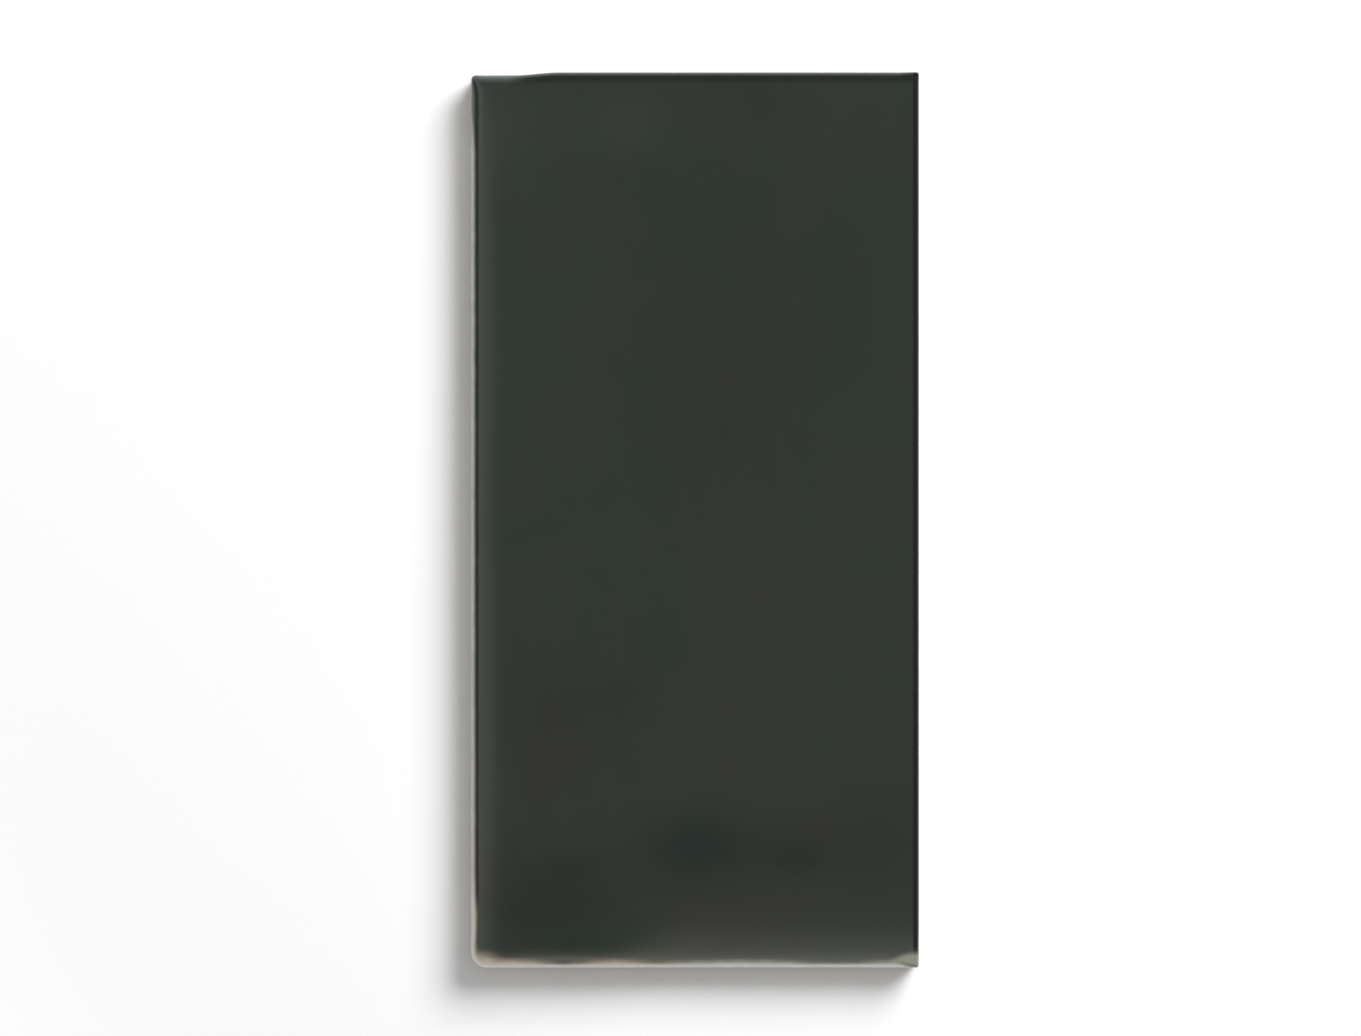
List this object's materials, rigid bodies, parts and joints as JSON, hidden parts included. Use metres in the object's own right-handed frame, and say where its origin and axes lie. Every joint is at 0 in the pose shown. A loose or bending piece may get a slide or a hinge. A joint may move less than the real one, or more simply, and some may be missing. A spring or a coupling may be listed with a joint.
{
  "type": "wall tile",
  "caption": "Oblong ceramic wall tile with a softly uneven dark glazed face, rounded edges and a flat grooved back for bonding to a wall.",
  "frame": {"origin": "middle of the footprint, in the plane of the back", "axes": "+Z out of the glazed face; +Y along the tile's length; +X across its width"},
  "size_m": [0.075, 0.15, 0.0085],
  "materials": {
    "glazed_ceramic": "glossy dark green-black glaze, breaking to brown and cream at the edges, over a pale fired body"
  },
  "bodies": {
    "root": {"tile": "glazed_ceramic"}
  },
  "joints": []
}
